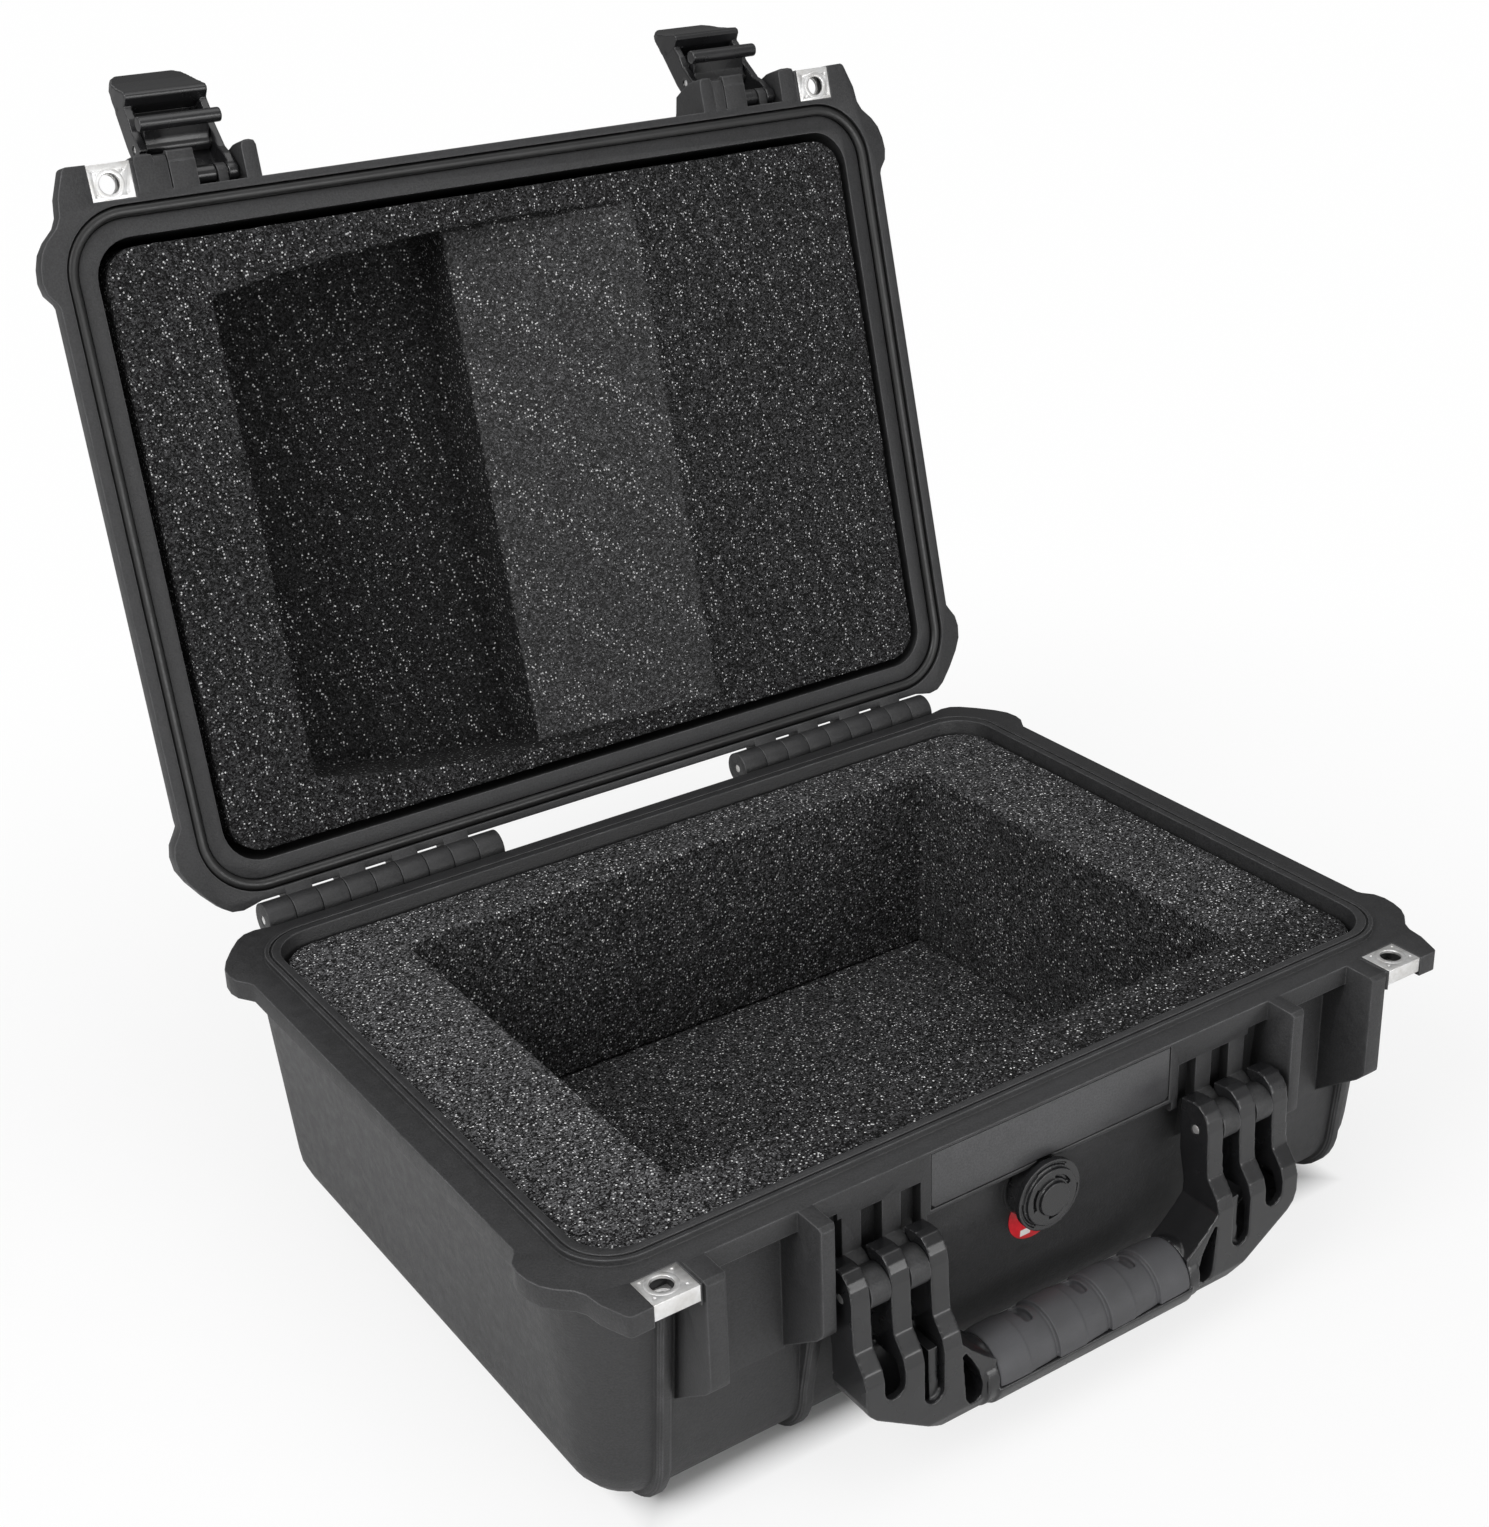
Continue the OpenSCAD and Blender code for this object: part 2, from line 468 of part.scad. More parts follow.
module hook(s) {
  latch_frame(s) difference() {
    union() {
      // hooked plate between the hook pin and the bar
      yz(-14, 14) {
        translate([hk_y, hk_z]) circle(3.2);
        polygon([[hk_y - 2.6, hk_z - 1.6], [hk_y - 1, hk_z - 5], [bar_y - 4, bar_z - 4.4], [bar_y + 1.6, bar_z - 2.4],
          [bar_y + 1, bar_z + 1], [bar_y - 4, bar_z - 0.6], [hk_y + 4.6, hk_z - 1], [hk_y + 1.4, hk_z + 2.6]]);
      }
      // bar that grips the flange
      translate([-latch_w / 2 + 0.3, bar_y, bar_z]) rotate([0, 90, 0]) cylinder(h = latch_w - 0.6, r = bar_r);
    }
    translate([0, hk_y, hk_z]) rotate([0, 90, 0]) cylinder(h = 60, r = latch_pin_r + run, center = true);
  }
}
module latch_hook_right() color([0.1, 0.1, 0.11]) hook(1);
module latch_hook_left() color([0.1, 0.1, 0.11]) hook(-1);

// ---- handle ---------------------------------------------------------------------
gy = -161.5;  gz = -90;
seam_z = -91.4;
module handle_side() polygon([[-149, -24.9], [-155, -24], [-158.4, -24.4], [-161.2, -26.4], [-163.2, -29.6],
  [-164, -34], [-164.4, -44], [-165.2, -53.6], [-170.6, -60.4], [-172, -65], [-172.4, -94],
  [-170.6, -98.6], [-166.6, -102.4], [-161.5, -103.6], [-155.6, -101.8], [-152.4, -97.6],
  [-151.6, -90], [-152, -60], [-149.4, -48], [-148.8, -36]]);
module handle_front() difference() {
  polygon([[62.8, -20], [105.5, -20], [105.5, -73], [104.2, -77], [101.2, -80.2], [74, -97.4], [68, -100.6], [60, -102.4],
    [47, -102.8], [47, -80], [52.5, -76], [58.6, -70.5], [62.8, -66]]);
  // slots between the fingers
  translate([71, -80.8]) square([8.8, 70]);
  translate([75.4, -80.8]) circle(4.4);
  translate([88.4, -70]) square([8.9, 60]);
  translate([92.85, -70]) circle(4.45);
  // eye next to the grip
  polygon([[62.6, -71.4], [61, -91], [59.4, -94], [56.6, -94.6], [54, -92.6], [53.4, -88], [55.2, -81], [58.6, -74.6], [61.4, -70.6]]);
}
module half_handle() difference() {
  intersection() {
    yz(40, 110) handle_side();
    translate([0, -140, 0]) rotate([90, 0, 0]) linear_extrude(40) handle_front();
  }
  // hollow behind the finger roots
  yz(72, 104) polygon([[-140, -64], [-166, -64], [-168.6, -72], [-168.6, -90], [-140, -96]]);
}
module handle_frame() color([0.17, 0.17, 0.18]) at_rim() difference() {
  union() {
    both() half_handle();
    // thin back wall that closes the slots
    both() translate([0, -153.4, 0]) rotate([90, 0, 0]) linear_extrude(1.6) polygon([[63.4, -62], [104.9, -62],
      [104.9, -73], [103.6, -76.6], [100.8, -79.6], [73.6, -96.8], [66, -99.4]]);
    both() yz(72, 76) polygon([[-153, -64], [-169, -64], [-170, -92], [-153, -92]]);
    // core of the grip
    translate([-50, gy, gz]) rotate([0, 90, 0]) cylinder(h = 100, r = 8.6);
    // rail along the underside of the grip
    intersection() {
      translate([-48, gy, gz]) rotate([0, 90, 0]) cylinder(h = 96, r = 14);
      translate([-60, gy - 20, -103.8]) cube([120, 40, seam_z + 103.8 - 0.03]);
    }
    // collars at the ends of the grip
    both() translate([47, gy, gz]) rotate([0, 90, 0]) cylinder(h = 5.4, r = 13);
  }
  both() translate([60, -handle_y, -handle_dz]) rotate([0, 90, 0]) cylinder(h = 48, r = handle_pin_r + run);
}
module handle_grip() color([0.12, 0.12, 0.12]) at_rim() difference() {
  translate([0, gy, gz]) rotate([0, 90, 0]) rotate_extrude()
    polygon([[8.62, -46.8], [12.8, -46.8], [13.2, -46], [13.6, -40], [13.7, -33], [13.4, -32.6], [12.7, -20.4], [12.3, -20],
      [12.4, -19.2], [grip_r, -18.9], [grip_r, -6.2], [13.5, -5.8], [12.7, 5], [12.3, 5.4], [12.4, 6.2], [grip_r, 6.5],
      [grip_r, 18.2], [13.5, 18.6], [12.7, 29.8], [12.3, 30.2], [12.4, 31], [grip_r - 0.1, 31.3], [13.6, 40],
      [13.2, 46], [12.8, 46.8], [8.62, 46.8]]);
  // the frame fills the lower half of the bar
  translate([-60, gy - 20, seam_z - 20]) cube([120, 40, 20]);
  // long oval windows across the top, one in each recessed panel
  for (x = [-25.4, 1.2, 25.6]) translate([x, gy, gz]) for (a = [-3:1:4])
    rotate([-14 + a * 5, 0, 0]) translate([0, 0, 10.6]) cylinder(h = 6, r = 2.5 - abs(a) * 0.08);
}

base_shell();
base_foam_walls();
base_foam_floor();
padlock_plate_base_left();
padlock_plate_base_right();
name_plate();
valve_body();
valve_cap();
valve_seal();
valve_nut();
valve_membrane();
valve_label();
hinge_pin_left();
hinge_pin_right();
handle_pin_left();
handle_pin_right();
lid_shell();
lid_gasket();
lid_foam();
padlock_plate_lid_left();
padlock_plate_lid_right();
latch_pin_left();
latch_pin_right();
latch_lever_left();
latch_lever_right();
hook_pin_left();
hook_pin_right();
latch_hook_left();
latch_hook_right();
handle_frame();
handle_grip();
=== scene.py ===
import json
import math

import bmesh
import bpy
import numpy as np
from mathutils import Matrix, Vector


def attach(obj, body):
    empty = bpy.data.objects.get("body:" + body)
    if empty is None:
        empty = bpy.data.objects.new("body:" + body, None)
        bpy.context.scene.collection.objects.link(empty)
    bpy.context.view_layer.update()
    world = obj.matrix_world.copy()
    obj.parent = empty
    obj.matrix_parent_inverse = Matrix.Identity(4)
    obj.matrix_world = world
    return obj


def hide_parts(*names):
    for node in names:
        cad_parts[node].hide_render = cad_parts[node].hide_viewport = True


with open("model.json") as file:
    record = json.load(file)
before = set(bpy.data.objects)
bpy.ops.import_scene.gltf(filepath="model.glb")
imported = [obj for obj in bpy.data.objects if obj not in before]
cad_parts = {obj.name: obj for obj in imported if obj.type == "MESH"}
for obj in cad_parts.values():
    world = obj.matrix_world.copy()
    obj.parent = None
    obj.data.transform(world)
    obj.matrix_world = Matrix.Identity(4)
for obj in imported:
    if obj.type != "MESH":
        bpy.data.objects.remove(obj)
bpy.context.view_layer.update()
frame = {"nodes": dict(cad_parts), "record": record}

NODES = frame["nodes"]
BODY = {n: b for b, ns in frame["record"]["behaviour"]["bodies"].items() for n in ns}
SCENE = bpy.context.scene
MM = 0.001

PART_Z = 117.5
HINGE_Y = 294.7 / 2 + 8.35
HINGE_Z = -0.69
LID_OPEN = math.radians(104)


def lid_point(p):
    """closed-lid coordinates in mm, height from the parting plane, to the row frame in metres, lid open"""
    x, y, z = p
    c, s = math.cos(LID_OPEN), math.sin(LID_OPEN)
    y, z = y - HINGE_Y, z - HINGE_Z
    return Vector((x, y * c + z * s + HINGE_Y, -y * s + z * c + HINGE_Z + PART_Z)) * MM


LID_MATRIX = Matrix.Translation(Vector((0, HINGE_Y, HINGE_Z + PART_Z)) * MM) @ Matrix.Rotation(-LID_OPEN, 4, "X") \
    @ Matrix.Translation(Vector((0, -HINGE_Y, -HINGE_Z)) * MM)
BASE_MATRIX = Matrix.Translation(Vector((0, 0, PART_Z)) * MM)


# ---- mesh helpers ---------------------------------------------------------

def clean_mesh(name, node, dissolve=0.7):
    """a welded copy of a CAD node's mesh with its flat areas merged"""
    src = NODES[node].data
    bm = bmesh.new()
    co = np.zeros(len(src.vertices) * 3)
    src.vertices.foreach_get("co", co)
    vs = [bm.verts.new(c) for c in co.reshape(-1, 3)]
    for p in src.polygons:
        try:
            bm.faces.new([vs[i] for i in p.vertices])
        except ValueError:
            pass
    bmesh.ops.remove_doubles(bm, verts=bm.verts, dist=4e-6)
    bmesh.ops.dissolve_degenerate(bm, edges=bm.edges, dist=3e-6)
    if dissolve:
        bmesh.ops.dissolve_limit(bm, angle_limit=math.radians(dissolve), verts=bm.verts, edges=bm.edges)
    bmesh.ops.recalc_face_normals(bm, faces=bm.faces)
    me = bpy.data.meshes.new(name)
    bm.to_mesh(me)
    bm.free()
    return me


def add_object(name, me, mat):
    ob = bpy.data.objects.new(name, me)
    SCENE.collection.objects.link(ob)
    me.materials.clear()
    me.materials.append(mat)
    return ob


def apply_modifiers(ob):
    dg = bpy.context.evaluated_depsgraph_get()
    me = bpy.data.meshes.new_from_object(ob.evaluated_get(dg), preserve_all_data_layers=False, depsgraph=dg)
    ob.modifiers.clear()
    old = ob.data
    ob.data = me
    bpy.data.meshes.remove(old)
    return ob


def smooth(me, angle):
    me.polygons.foreach_set("use_smooth", [True] * len(me.polygons))
    me.set_sharp_from_angle(angle=math.radians(angle))


def crisp(node, name, mat, bevel=0.45, angle=32, segments=2, dissolve=0.7, stand_for=None):
    """a CAD shape kept as it is, with its moulded edges rounded"""
    ob = add_object(name, clean_mesh(name, node, dissolve), mat)
    if bevel:
        m = ob.modifiers.new("edge", "BEVEL")
        m.width = bevel * MM
        m.segments = segments
        m.limit_method = "ANGLE"
        m.angle_limit = math.radians(angle)
        m.use_clamp_overlap = True
        m.loop_slide = False
        m.miter_outer = "MITER_ARC"
        apply_modifiers(ob)
    smooth(ob.data, 38)
    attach(ob, BODY[node])
    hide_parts(node)
    return ob


def add_prism(me, outline, y0, y1, mirror):
    """add a closed prism to a mesh: outline in x and z, between two depths, in mm from the rim plane"""
    bm = bmesh.new()
    bm.from_mesh(me)
    rings = [[bm.verts.new(BASE_MATRIX @ (Vector((mirror * x, y, z)) * MM)) for x, z in outline] for y in (y0, y1)]
    new = [bm.faces.new(rings[0]), bm.faces.new(rings[1])]
    for i in range(len(outline)):
        j = (i + 1) % len(outline)
        new.append(bm.faces.new((rings[0][i], rings[0][j], rings[1][j], rings[1][i])))
    bmesh.ops.recalc_face_normals(bm, faces=new)
    bm.to_mesh(me)
    bm.free()


def moulded(node, name, mat, voxel, passes=4, factor=0.5, sharp=180, finish=True, prisms=()):
    """a CAD shape turned into a dense mesh whose edges are melted round"""
    ob = add_object(name, clean_mesh(name, node, 0), mat)
    for prism in prisms:
        add_prism(ob.data, *prism)
    m = ob.modifiers.new("remesh", "REMESH")
    m.mode = "VOXEL"
    m.voxel_size = voxel * MM
    m.adaptivity = 0
    if passes:
        m = ob.modifiers.new("soften", "SMOOTH")
        m.factor = factor
        m.iterations = passes
    apply_modifiers(ob)
    me = ob.data
    me.polygons.foreach_set("use_smooth", [True] * len(me.polygons))
    if finish:
        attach(ob, BODY[node])
        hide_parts(node)
    return ob


def displace(me, fn):
    """move each vertex along its normal by fn(points, normals), both n x 3 arrays in metres"""
    n = len(me.vertices)
    co = np.zeros(n * 3)
    no = np.zeros(n * 3)
    me.vertices.foreach_get("co", co)
    me.vertex_normals.foreach_get("vector", no)
    co, no = co.reshape(-1, 3), no.reshape(-1, 3)
    co = co + no * fn(co, no)[:, None]
    me.vertices.foreach_set("co", co.ravel())
    me.update()


# ---- material helpers ------------------------------------------------------

class Mat:
    """a procedural material: small wrapper that adds and links shader nodes"""

    def __init__(self, name, **principled):
        self.mat = bpy.data.materials.new(name)
        self.mat.use_nodes = True
        self.t = self.mat.node_tree
        self.t.nodes.clear()
        self.out = self.add("ShaderNodeOutputMaterial")
        self.bsdf = self.add("ShaderNodeBsdfPrincipled", **principled)
        self.link(self.bsdf.outputs[0], self.out.inputs["Surface"])
        self.co = self.add("ShaderNodeTexCoord").outputs["Object"]

    def add(self, kind, **inputs):
        node = self.t.nodes.new(kind)
        for k, v in inputs.items():
            key = k.replace("_", " ")
            if key in node.inputs:
                if isinstance(v, bpy.types.NodeSocket):
                    self.link(v, node.inputs[key])
                else:
                    node.inputs[key].default_value = v
            else:
                setattr(node, k, v)
        return node

    def link(self, a, b):
        self.t.links.new(a, b)

    def noise(self, scale, detail=3, rough=0.55, co=None, distortion=0.0):
        n = self.add("ShaderNodeTexNoise", Scale=scale, Detail=detail, Roughness=rough, Distortion=distortion)
        self.link(co if co is not None else self.co, n.inputs["Vector"])
        return n.outputs[0]

    def voronoi(self, scale, feature="F1", co=None, randomness=1.0, out="Distance"):
        n = self.add("ShaderNodeTexVoronoi", feature=feature)
        n.inputs["Scale"].default_value = scale
        n.inputs["Randomness"].default_value = randomness
        self.link(co if co is not None else self.co, n.inputs["Vector"])
        return n.outputs[out]

    def remap(self, v, a, b, c=0.0, d=1.0, smooth_step=False):
        n = self.add("ShaderNodeMapRange")
        if smooth_step:
            n.interpolation_type = "SMOOTHSTEP"
        self.link(v, n.inputs[0])
        for i, x in enumerate((a, b, c, d)):
            n.inputs[i + 1].default_value = x
        return n.outputs[0]

    def math(self, op, a, b=0.5, clamp=False):
        n = self.add("ShaderNodeMath", operation=op)
        n.use_clamp = clamp
        for i, v in enumerate((a, b)):
            if isinstance(v, bpy.types.NodeSocket):
                self.link(v, n.inputs[i])
            else:
                n.inputs[i].default_value = v
        return n.outputs[0]

    def mix(self, fac, a, b):
        n = self.add("ShaderNodeMix", data_type="RGBA")
        for sock, v in ((n.inputs[0], fac), (n.inputs[6], a), (n.inputs[7], b)):
            if isinstance(v, bpy.types.NodeSocket):
                self.link(v, sock)
            else:
                sock.default_value = v if not isinstance(v, tuple) or len(v) == 4 else (*v, 1)
        return n.outputs[2]

    def bump(self, height, strength, distance, normal=None):
        n = self.add("ShaderNodeBump")
        n.inputs["Strength"].default_value = strength
        n.inputs["Distance"].default_value = distance
        self.link(height, n.inputs["Height"])
        if normal is not None:
            self.link(normal, n.inputs["Normal"])
        return n.outputs[0]

    def bevel(self, radius):
        n = self.add("ShaderNodeBevel", samples=4)
        n.inputs["Radius"].default_value = radius
        return n.outputs[0]

    def cavity(self, distance, samples=4):
        """1 in the open, falling towards 0 in corners and crevices"""
        n = self.add("ShaderNodeAmbientOcclusion", samples=samples)
        n.inputs["Distance"].default_value = distance
        return n.outputs["AO"]

    def edge_mask(self, bevel_normal):
        """0 on flats, rising to 1 where the rounded normal leaves the true one"""
        g = self.add("ShaderNodeNewGeometry")
        d = self.add("ShaderNodeVectorMath", operation="DOT_PRODUCT")
        self.link(bevel_normal, d.inputs[0])
        self.link(g.outputs["Normal"], d.inputs[1])
        return self.remap(d.outputs["Value"], 0.995, 0.80)

    def scaled(self, sx, sy, sz, rot=(0, 0, 0)):
        n = self.add("ShaderNodeMapping")
        n.inputs["Scale"].default_value = (sx, sy, sz)
        n.inputs["Rotation"].default_value = rot
        self.link(self.co, n.inputs["Vector"])
        return n.outputs[0]

    def set(self, **kw):
        for k, v in kw.items():
            self.link(v, self.bsdf.inputs[k.replace("_", " ")])
        return self.mat


def grey(v, blue=0.0):
    return (v, v, v * (1 + blue), 1)


def polymer(name, base=0.0215, rough=0.52, edge=0.17, bump=0.30, bevel=0.0009):
    m = Mat(name, IOR=1.45)
    wide = m.noise(14, 3)
    mott = m.noise(210, 5, 0.62)
    col = m.mix(m.remap(wide, 0.3, 0.7), grey(base * 0.88, 0.03), grey(base * 1.14, 0.05))
    col = m.mix(m.remap(mott, 0.42, 0.72, 0, 0.35), col, grey(base * 1.75, 0.04))
    speck = m.noise(1250, 2, 0.7)
    col = m.mix(m.remap(speck, 0.44, 0.68, 0, 0.45), col, grey(base * 1.9, 0.04))
    col = m.mix(m.remap(speck, 0.50, 0.30, 0, 0.40), col, grey(base * 0.4, 0.04))
    bn = m.bevel(bevel)
    ao = m.cavity(0.014)
    # painted highlight: edges are painted lighter where the rounded normal turns away, broken up by noise and kept
    # out of concave corners
    edge_highlight_mask = m.math("MULTIPLY", m.edge_mask(bn), m.remap(m.noise(90, 3), 0.35, 0.65, 0.35, 1.0))
    edge_highlight_mask = m.math("MULTIPLY", edge_highlight_mask, m.remap(ao, 0.50, 0.85))
    col = m.mix(edge_highlight_mask, col, grey(edge, 0.03))
    # painted shade: corners and crevices are painted darker
    col = m.mix(m.remap(ao, 0.88, 0.30, 0.0, 0.75), col, grey(base * 0.2))
    grain = m.math("ADD", m.voronoi(1150, "SMOOTH_F1"), m.noise(2300, 2))
    n = m.bump(grain, bump * 1.7, 0.00016, bn)
    n = m.bump(m.noise(55, 3), 0.10, 0.0006, n)
    rough_v = m.remap(mott, 0.3, 0.7, rough - 0.07, rough + 0.07)
    return m.set(Base_Color=col, Roughness=rough_v, Normal=n)


def gloss_plastic(name, base=0.0115, rough=0.25, edge=0.20):
    m = Mat(name, IOR=1.52)
    wide = m.noise(40, 3)
    fine = m.noise(900, 3)
    col = m.mix(m.remap(wide, 0.3, 0.7), grey(base * 0.85, 0.05), grey(base * 1.2, 0.08))
    # painted highlight: convex edges are painted lighter in noisy patches
    g = m.add("ShaderNodeNewGeometry")
    convex_edge = m.remap(g.outputs["Pointiness"], 0.53, 0.60)
    patch = m.remap(m.noise(520, 5, 0.7, m.scaled(0.35, 1, 1)), 0.50, 0.66)
    patchy_edge_highlight = m.math("MULTIPLY", convex_edge, m.math("ADD", m.math("MULTIPLY", patch, 0.7), 0.28), True)
    col = m.mix(patchy_edge_highlight, col, grey(edge, 0.03))
    n = m.bump(fine, 0.10, 0.0001)
    n = m.bump(m.noise(120, 2), 0.12, 0.0003, n)
    return m.set(Base_Color=col, Roughness=m.remap(wide, 0.3, 0.7, rough - 0.05, rough + 0.07), Normal=n)


def rubber(name, base=0.052, rough=0.60):
    m = Mat(name, IOR=1.5)
    wide = m.noise(60, 3)
    fine = m.noise(1700, 3, 0.6)
    col = m.mix(m.remap(wide, 0.3, 0.7), grey(base * 0.88, 0.06), grey(base * 1.12, 0.08))
    g = m.add("ShaderNodeNewGeometry")
    # painted highlight: convex edges are painted lighter
    col = m.mix(m.remap(g.outputs["Pointiness"], 0.52, 0.60, 0, 0.5), col, grey(base * 2.0, 0.05))
    n = m.bump(fine, 0.22, 0.00012)
    return m.set(Base_Color=col, Roughness=m.remap(fine, 0.3, 0.7, rough - 0.06, rough + 0.08), Normal=n)


def seal(name):
    m = Mat(name, IOR=1.5)
    wide = m.noise(30, 2)
    fine = m.noise(700, 3)
    col = m.mix(m.remap(wide, 0.3, 0.7), grey(0.010), grey(0.018))
    return m.set(Base_Color=col, Roughness=m.remap(fine, 0.3, 0.7, 0.30, 0.46), Normal=m.bump(fine, 0.08, 0.0001))


def foam(name, dark=0.002, mid=0.053, glint=0.95, amount=0.44, lift=None):
    """black open-cell foam: dark pores, grey cell walls and small bright glints from cut cell skins"""
    m = Mat(name, IOR=1.45)
    warp = m.add("ShaderNodeVectorMath", operation="MULTIPLY_ADD")
    wn = m.add("ShaderNodeTexNoise", Scale=420.0, Detail=2.0)
    m.link(m.co, wn.inputs["Vector"])
    m.link(wn.outputs["Color"], warp.inputs[0])
    warp.inputs[1].default_value = (0.0010, 0.0010, 0.0010)
    m.link(m.co, warp.inputs[2])
    co = warp.outputs[0]

    def cell_random(scale, channel, where):
        sep = m.add("ShaderNodeSeparateColor")
        m.link(m.voronoi(scale, "F1", where, out="Color"), sep.inputs[0])
        return sep.outputs[channel]

    # each cell takes its own grey, its middle is a dark pore
    cell = m.voronoi(1450, "F1", co)
    level = m.math("POWER", cell_random(1450, 0, co), 2.2)
    pore = m.remap(cell, 0.10, 0.46, 0.25, 1.0)
    small = m.noise(2300, 3, 0.65)
    wide = m.noise(9, 3)
    tone = m.math("MULTIPLY", m.math("MULTIPLY", level, pore), m.remap(small, 0.30, 0.70, 0.45, 1.35))
    col = m.mix(tone, grey(dark), grey(mid * 4.3, 0.03))
    col = m.mix(m.remap(wide, 0.3, 0.7, 0.0, 0.18), col, grey(dark * 2))
    shade = m.add("ShaderNodeAttribute", attribute_name="shade")
    col = m.mix(shade.outputs["Fac"], col, grey(dark))
    # painted light: where the attribute named in lift is set, the foam is painted paler, as if lit
    if lift:
        at = m.add("ShaderNodeAttribute", attribute_name=lift[0])
        painted_lit_colour = m.mix(tone, grey(lift[2] * 0.45), grey(lift[2] * 2.6, 0.03))
        col = m.mix(m.math("MULTIPLY", at.outputs["Fac"], lift[1]), col, painted_lit_colour)
    # glints
    g1 = m.voronoi(900, "F1")
    lit = m.math("SUBTRACT", 1.0, m.math("MULTIPLY", shade.outputs["Fac"], 0.8))
    spark = m.math("MULTIPLY", m.remap(g1, 0.36, 0.20), m.remap(cell_random(900, 0, m.co), 1 - amount, 1 - amount + 0.05))
    power = m.math("POWER", cell_random(900, 1, m.co), 1.6)
    turned = m.scaled(1.0, 1.0, 1.0, (0.3, 0.5, 0.2))
    g2 = m.voronoi(560, "F1", turned)
    spark2 = m.math("MULTIPLY", m.remap(g2, 0.26, 0.16), m.remap(cell_random(560, 1, turned), 0.66, 0.70))
    col = m.mix(m.math("MULTIPLY", m.math("MULTIPLY", spark, lit), m.remap(power, 0, 1, 0.05, 1.0), True), col, grey(glint, 0.02))
    col = m.mix(m.math("MULTIPLY", spark2, 0.9, True), col, grey(glint, 0.0))
    height = m.math("ADD", cell, m.math("MULTIPLY", small, 0.8))
    n = m.bump(height, 0.8, 0.0006)
    m.bsdf.inputs["Specular IOR Level"].default_value = 0.2
    return m.set(Base_Color=col, Roughness=m.remap(small, 0.3, 0.7, 0.75, 0.98), Normal=n)


def steel(name):
    m = Mat(name, Metallic=0.82)
    brush = m.noise(900, 4, 0.6, m.scaled(0.05, 1.0, 1.0))
    spots = m.noise(160, 4, 0.6)
    col = m.mix(m.remap(spots, 0.35, 0.68), grey(0.80), (0.62, 0.61, 0.59, 1))
    bn = m.bevel(0.0003)
    n = m.bump(brush, 0.16, 0.0001, bn)
    return m.set(Base_Color=col, Roughness=m.remap(brush, 0.3, 0.7, 0.34, 0.50), Normal=n)


def membrane_mat(name):
    m = Mat(name)
    f = m.noise(1300, 3)
    col = m.mix(m.remap(f, 0.3, 0.7), grey(0.74), grey(0.82))
    return m.set(Base_Color=col, Roughness=m.remap(f, 0.3, 0.7, 0.7, 0.9), Normal=m.bump(f, 0.3, 0.0001))


def label_mat(name, patch_centre, patch_size):
    """red printed film with a plain white field, no lettering"""
    m = Mat(name, IOR=1.5)
    sep = m.add("ShaderNodeSeparateXYZ")
    m.link(m.co, sep.inputs[0])
    dx = m.math("ABSOLUTE", m.math("SUBTRACT", sep.outputs[0], patch_centre[0]))
    dz = m.math("ABSOLUTE", m.math("SUBTRACT", sep.outputs[2], patch_centre[1]))
    inx = m.remap(dx, patch_size[0], patch_size[0] - 0.0004)
    inz = m.remap(dz, patch_size[1], patch_size[1] - 0.0004)
    f = m.noise(700, 3)
    red = m.mix(m.remap(f, 0.3, 0.7), (0.52, 0.012, 0.02, 1), (0.66, 0.024, 0.034, 1))
    col = m.mix(m.math("MULTIPLY", inx, inz), red, (0.80, 0.74, 0.73, 1))
    return m.set(Base_Color=col, Roughness=m.remap(f, 0.3, 0.7, 0.28, 0.42), Normal=m.bump(f, 0.05, 0.0001))


MATS = {
    "case_polymer": polymer("case_polymer"),
    "latch_plastic": gloss_plastic("latch_plastic"),
    "plate_plastic": polymer("plate_plastic", base=0.045, rough=0.36, edge=0.12, bump=0.12, bevel=0.0003),
    "grip_rubber": rubber("grip_rubber"),
    "seal_rubber": seal("seal_rubber"),
    "foam": foam("foam"),
    "foam_floor": foam("foam_floor", mid=0.034, amount=0.34),
    "foam_lid": foam("foam_lid", mid=0.019, amount=0.30, glint=0.62, lift=("ramp", 0.8, 0.046)),
    "stainless": steel("stainless"),
    "membrane": membrane_mat("membrane"),
}
LABEL_PATCH = (-0.0044, 0.0534)
MATS["label_red"] = label_mat("label_red", LABEL_PATCH, (0.0027, 0.0017))

# ---- hard shells -------------------------------------------------------------
base_shell = crisp("base_shell", "case_base", MATS["case_polymer"], bevel=0.5)
lid_shell = crisp("lid_shell", "case_lid", MATS["case_polymer"], bevel=0.5)
name_plate = crisp("name_plate", "name_plate_blank", MATS["plate_plastic"], bevel=0.18)


# ---- foam ---------------------------------------------------------------------
def lattice_noise(p, scale, seed):
    """smooth value noise from a seeded lattice, in -1..1"""
    rng = np.random.default_rng(seed)
    table = rng.uniform(-1, 1, (32, 32, 32))
    q = p * scale
    i = np.floor(q).astype(int)
    f = q - i
    f = f * f * (3 - 2 * f)
    out = np.zeros(len(p))
    for dx in (0, 1):
        for dy in (0, 1):
            for dz in (0, 1):
                w = (f[:, 0] if dx else 1 - f[:, 0]) * (f[:, 1] if dy else 1 - f[:, 1]) * (f[:, 2] if dz else 1 - f[:, 2])
                out += w * table[(i[:, 0] + dx) % 32, (i[:, 1] + dy) % 32, (i[:, 2] + dz) % 32]
    return out


